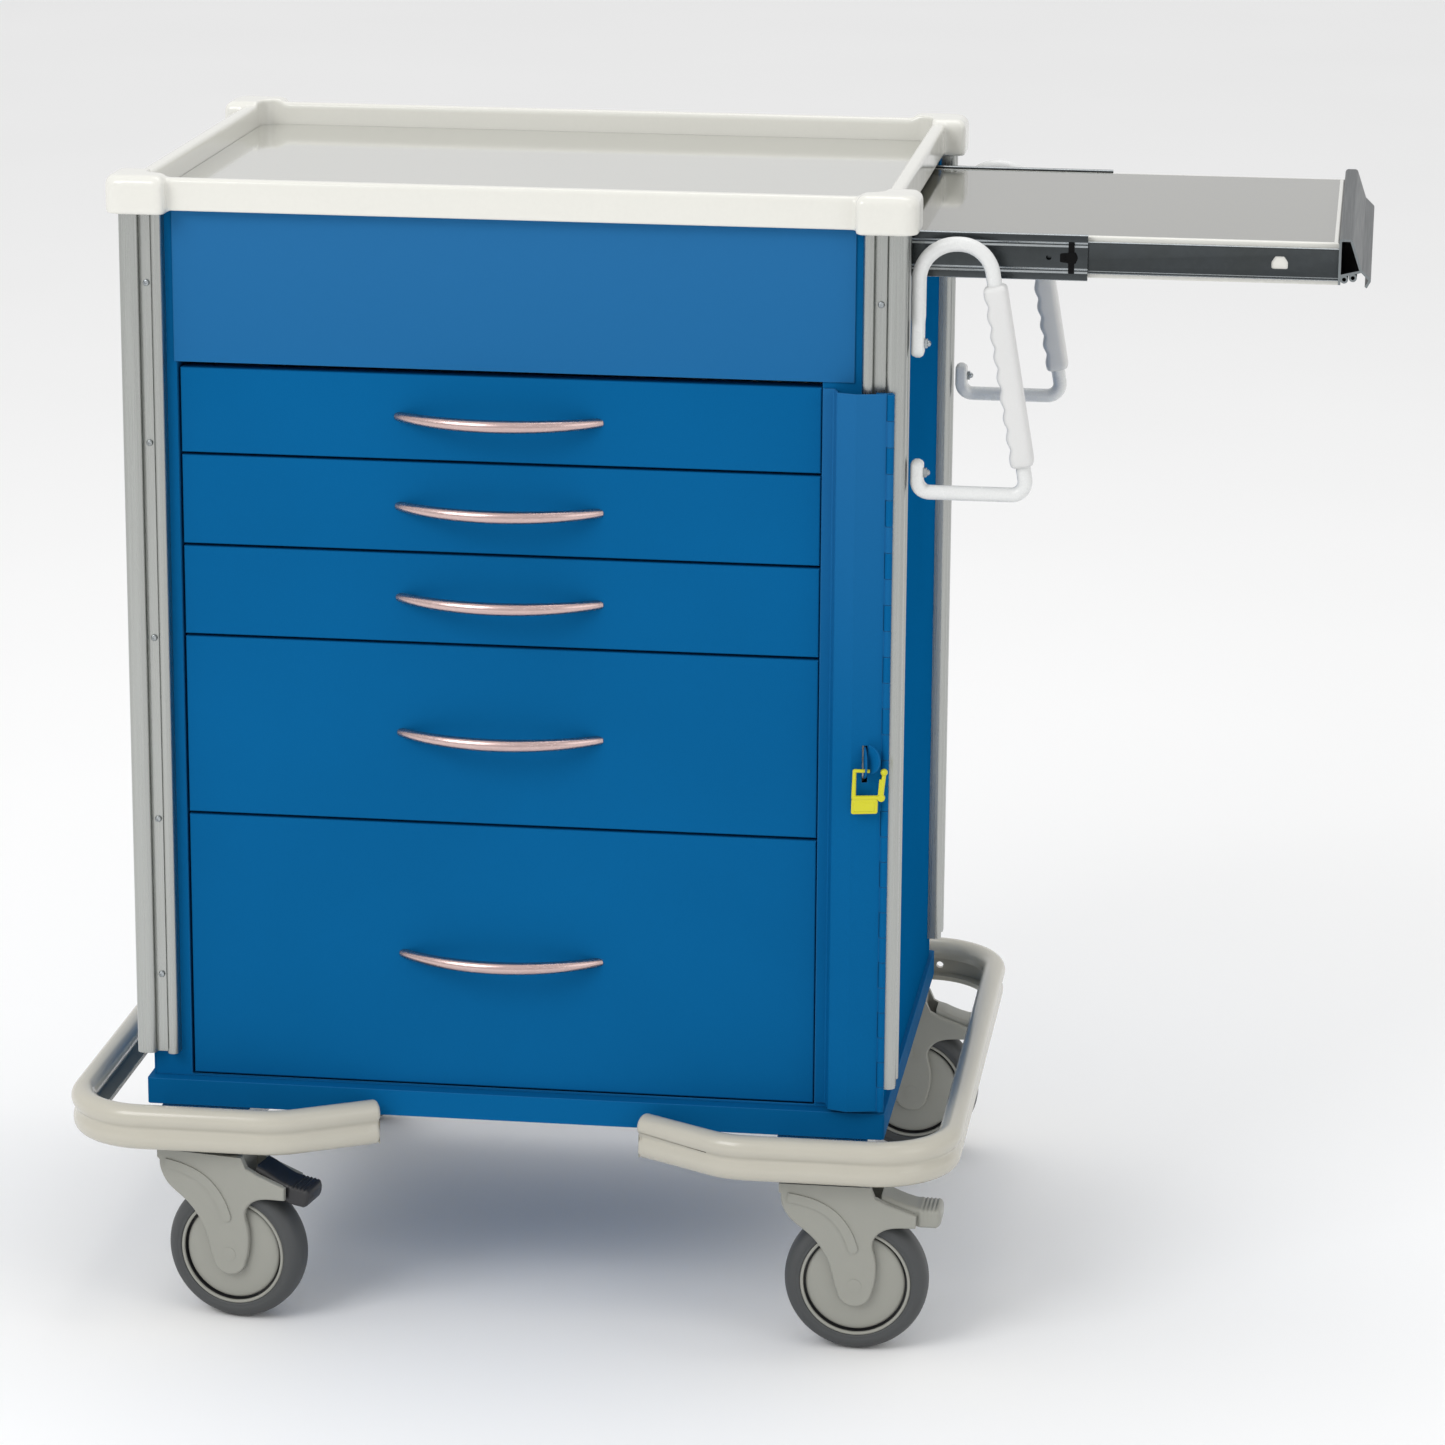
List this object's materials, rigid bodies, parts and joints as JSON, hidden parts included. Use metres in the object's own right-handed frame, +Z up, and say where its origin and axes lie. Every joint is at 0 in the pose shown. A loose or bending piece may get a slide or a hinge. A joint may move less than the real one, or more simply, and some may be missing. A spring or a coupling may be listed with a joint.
{
  "type": "medication cart",
  "caption": "Drawer medication cart on swivel casters, with raised tray top, side pull-out shelf, hinged lock bar, push handles and wrap-around bumper.",
  "frame": {"origin": "on the floor under the middle of the whole cart with its side shelf pulled out", "axes": "+Z up, drawers open towards -Y, side shelf slides out towards +X"},
  "size_m": [1.0599, 0.5866, 0.962],
  "materials": {
    "blue_paint": "satin powder coat",
    "grey_paint": "satin powder coat",
    "satin_aluminium": "satin anodised",
    "dark_aluminium": "satin anodised",
    "zinc_steel": "bright zinc plate",
    "brushed_pull": "brushed",
    "cream_plastic": "glossy",
    "grey_laminate": "glossy",
    "bumper_vinyl": "satin",
    "white_enamel": "gloss powder coat",
    "white_grip": "satin",
    "grey_nylon": "satin moulded",
    "black_plastic": "satin moulded",
    "grey_tyre": "matt",
    "yellow_plastic": "glossy"
  },
  "bodies": {
    "cabinet": {"left_side_panel": "blue_paint", "right_side_panel": "blue_paint", "back_panel": "blue_paint", "base_pan": "blue_paint", "front_frame": "blue_paint", "header_panel": "blue_paint", "corner_posts": "satin_aluminium", "post_screws": "zinc_steel", "top_tray": "cream_plastic", "top_surface": "grey_laminate", "bumper": "bumper_vinyl", "push_handles": "white_enamel", "handle_grips": "white_grip", "frame_bolts": "zinc_steel", "slide_outer_members": "zinc_steel", "caster_mounts": "zinc_steel", "lock_hinge": "blue_paint"},
    "drawer_1": {"drawer_1_box": "grey_paint", "drawer_1_front": "blue_paint", "drawer_1_handle": "brushed_pull"},
    "drawer_1_middle": {"drawer_1_slide_mid": "zinc_steel"},
    "drawer_2": {"drawer_2_box": "grey_paint", "drawer_2_front": "blue_paint", "drawer_2_handle": "brushed_pull"},
    "drawer_2_middle": {"drawer_2_slide_mid": "zinc_steel"},
    "drawer_3": {"drawer_3_box": "grey_paint", "drawer_3_front": "blue_paint", "drawer_3_handle": "brushed_pull"},
    "drawer_3_middle": {"drawer_3_slide_mid": "zinc_steel"},
    "drawer_4": {"drawer_4_box": "grey_paint", "drawer_4_front": "blue_paint", "drawer_4_handle": "brushed_pull"},
    "drawer_4_middle": {"drawer_4_slide_mid": "zinc_steel"},
    "drawer_5": {"drawer_5_box": "grey_paint", "drawer_5_front": "blue_paint", "drawer_5_handle": "brushed_pull"},
    "drawer_5_middle": {"drawer_5_slide_mid": "zinc_steel"},
    "shelf": {"shelf_panel": "cream_plastic", "shelf_surface": "grey_laminate", "shelf_pull": "dark_aluminium", "shelf_slide_inner": "zinc_steel"},
    "shelf_middle": {"shelf_slide_mid": "zinc_steel"},
    "lock_bar": {"lock_bar": "blue_paint", "lock_seal": "yellow_plastic"},
    "caster_front_left_swivel": {"caster_front_left_fork": "grey_nylon"},
    "caster_front_left_wheel": {"caster_front_left_hub": "grey_nylon", "caster_front_left_tyre": "grey_tyre"},
    "caster_front_left_brake": {"caster_front_left_pedal": "black_plastic"},
    "caster_front_right_swivel": {"caster_front_right_fork": "grey_nylon"},
    "caster_front_right_wheel": {"caster_front_right_hub": "grey_nylon", "caster_front_right_tyre": "grey_tyre"},
    "caster_front_right_brake": {"caster_front_right_pedal": "grey_nylon"},
    "caster_rear_left_swivel": {"caster_rear_left_fork": "grey_nylon"},
    "caster_rear_left_wheel": {"caster_rear_left_hub": "grey_nylon", "caster_rear_left_tyre": "grey_tyre"},
    "caster_rear_left_brake": {"caster_rear_left_pedal": "grey_nylon"},
    "caster_rear_right_swivel": {"caster_rear_right_fork": "grey_nylon"},
    "caster_rear_right_wheel": {"caster_rear_right_hub": "grey_nylon", "caster_rear_right_tyre": "grey_tyre"},
    "caster_rear_right_brake": {"caster_rear_right_pedal": "grey_nylon"}
  },
  "joints": [
    {"name": "drawer_1_slide", "type": "slide", "parent": "cabinet", "child": "drawer_1", "axis": [0, -1, 0], "range_m": [0, 0.38]},
    {"name": "drawer_1_middle_slide", "type": "slide", "parent": "cabinet", "child": "drawer_1_middle", "axis": [0, -1, 0], "range_m": [0, 0.19]},
    {"name": "drawer_2_slide", "type": "slide", "parent": "cabinet", "child": "drawer_2", "axis": [0, -1, 0], "range_m": [0, 0.38]},
    {"name": "drawer_2_middle_slide", "type": "slide", "parent": "cabinet", "child": "drawer_2_middle", "axis": [0, -1, 0], "range_m": [0, 0.19]},
    {"name": "drawer_3_slide", "type": "slide", "parent": "cabinet", "child": "drawer_3", "axis": [0, -1, 0], "range_m": [0, 0.38]},
    {"name": "drawer_3_middle_slide", "type": "slide", "parent": "cabinet", "child": "drawer_3_middle", "axis": [0, -1, 0], "range_m": [0, 0.19]},
    {"name": "drawer_4_slide", "type": "slide", "parent": "cabinet", "child": "drawer_4", "axis": [0, -1, 0], "range_m": [0, 0.38]},
    {"name": "drawer_4_middle_slide", "type": "slide", "parent": "cabinet", "child": "drawer_4_middle", "axis": [0, -1, 0], "range_m": [0, 0.19]},
    {"name": "drawer_5_slide", "type": "slide", "parent": "cabinet", "child": "drawer_5", "axis": [0, -1, 0], "range_m": [0, 0.38]},
    {"name": "drawer_5_middle_slide", "type": "slide", "parent": "cabinet", "child": "drawer_5_middle", "axis": [0, -1, 0], "range_m": [0, 0.19]},
    {"name": "shelf_slide", "type": "slide", "parent": "cabinet", "child": "shelf", "axis": [1, 0, 0], "range_m": [-0.345, 0]},
    {"name": "shelf_middle_slide", "type": "slide", "parent": "cabinet", "child": "shelf_middle", "axis": [1, 0, 0], "range_m": [-0.1725, 0]},
    {"name": "lock_bar_hinge", "type": "hinge", "parent": "cabinet", "child": "lock_bar", "pos_m": [0.15535, -0.2331, 0.5], "axis": [0, 0, 1], "range_deg": [0, 100]},
    {"name": "caster_front_left_swivel_turn", "type": "hinge", "parent": "cabinet", "child": "caster_front_left_swivel", "pos_m": [-0.41425, -0.247, 0.14], "axis": [0, 0, 1], "continuous": true},
    {"name": "caster_front_left_wheel_turn", "type": "hinge", "parent": "caster_front_left_swivel", "child": "caster_front_left_wheel", "pos_m": [-0.38274, -0.25256, 0.06], "axis": [0.1736, 0.9848, 0], "continuous": true},
    {"name": "caster_front_left_pedal_press", "type": "hinge", "parent": "caster_front_left_swivel", "child": "caster_front_left_brake", "pos_m": [-0.35516, -0.25742, 0.12], "axis": [0.1736, 0.9848, 0], "range_deg": [0, 12]},
    {"name": "caster_front_right_swivel_turn", "type": "hinge", "parent": "cabinet", "child": "caster_front_right_swivel", "pos_m": [0.10775, -0.247, 0.14], "axis": [0, 0, 1], "continuous": true},
    {"name": "caster_front_right_wheel_turn", "type": "hinge", "parent": "caster_front_right_swivel", "child": "caster_front_right_wheel", "pos_m": [0.13975, -0.247, 0.06], "axis": [0, 1, 0], "continuous": true},
    {"name": "caster_front_right_pedal_press", "type": "hinge", "parent": "caster_front_right_swivel", "child": "caster_front_right_brake", "pos_m": [0.16775, -0.247, 0.12], "axis": [0, 1, 0], "range_deg": [0, 12]},
    {"name": "caster_rear_left_swivel_turn", "type": "hinge", "parent": "cabinet", "child": "caster_rear_left_swivel", "pos_m": [-0.41425, 0.247, 0.14], "axis": [0, 0, 1], "continuous": true},
    {"name": "caster_rear_left_wheel_turn", "type": "hinge", "parent": "caster_rear_left_swivel", "child": "caster_rear_left_wheel", "pos_m": [-0.38225, 0.247, 0.06], "axis": [0, 1, 0], "continuous": true},
    {"name": "caster_rear_left_pedal_press", "type": "hinge", "parent": "caster_rear_left_swivel", "child": "caster_rear_left_brake", "pos_m": [-0.35425, 0.247, 0.12], "axis": [0, 1, 0], "range_deg": [0, 12]},
    {"name": "caster_rear_right_swivel_turn", "type": "hinge", "parent": "cabinet", "child": "caster_rear_right_swivel", "pos_m": [0.10775, 0.247, 0.14], "axis": [0, 0, 1], "continuous": true},
    {"name": "caster_rear_right_wheel_turn", "type": "hinge", "parent": "caster_rear_right_swivel", "child": "caster_rear_right_wheel", "pos_m": [0.13975, 0.247, 0.06], "axis": [0, 1, 0], "continuous": true},
    {"name": "caster_rear_right_pedal_press", "type": "hinge", "parent": "caster_rear_right_swivel", "child": "caster_rear_right_brake", "pos_m": [0.16775, 0.247, 0.12], "axis": [0, 1, 0], "range_deg": [0, 12]}
  ],
  "couplings": [
    {"joint": "drawer_1_middle_slide", "follows": "drawer_1_slide", "ratio": 0.5},
    {"joint": "drawer_2_middle_slide", "follows": "drawer_2_slide", "ratio": 0.5},
    {"joint": "drawer_3_middle_slide", "follows": "drawer_3_slide", "ratio": 0.5},
    {"joint": "drawer_4_middle_slide", "follows": "drawer_4_slide", "ratio": 0.5},
    {"joint": "drawer_5_middle_slide", "follows": "drawer_5_slide", "ratio": 0.5},
    {"joint": "shelf_middle_slide", "follows": "shelf_slide", "ratio": 0.5}
  ]
}
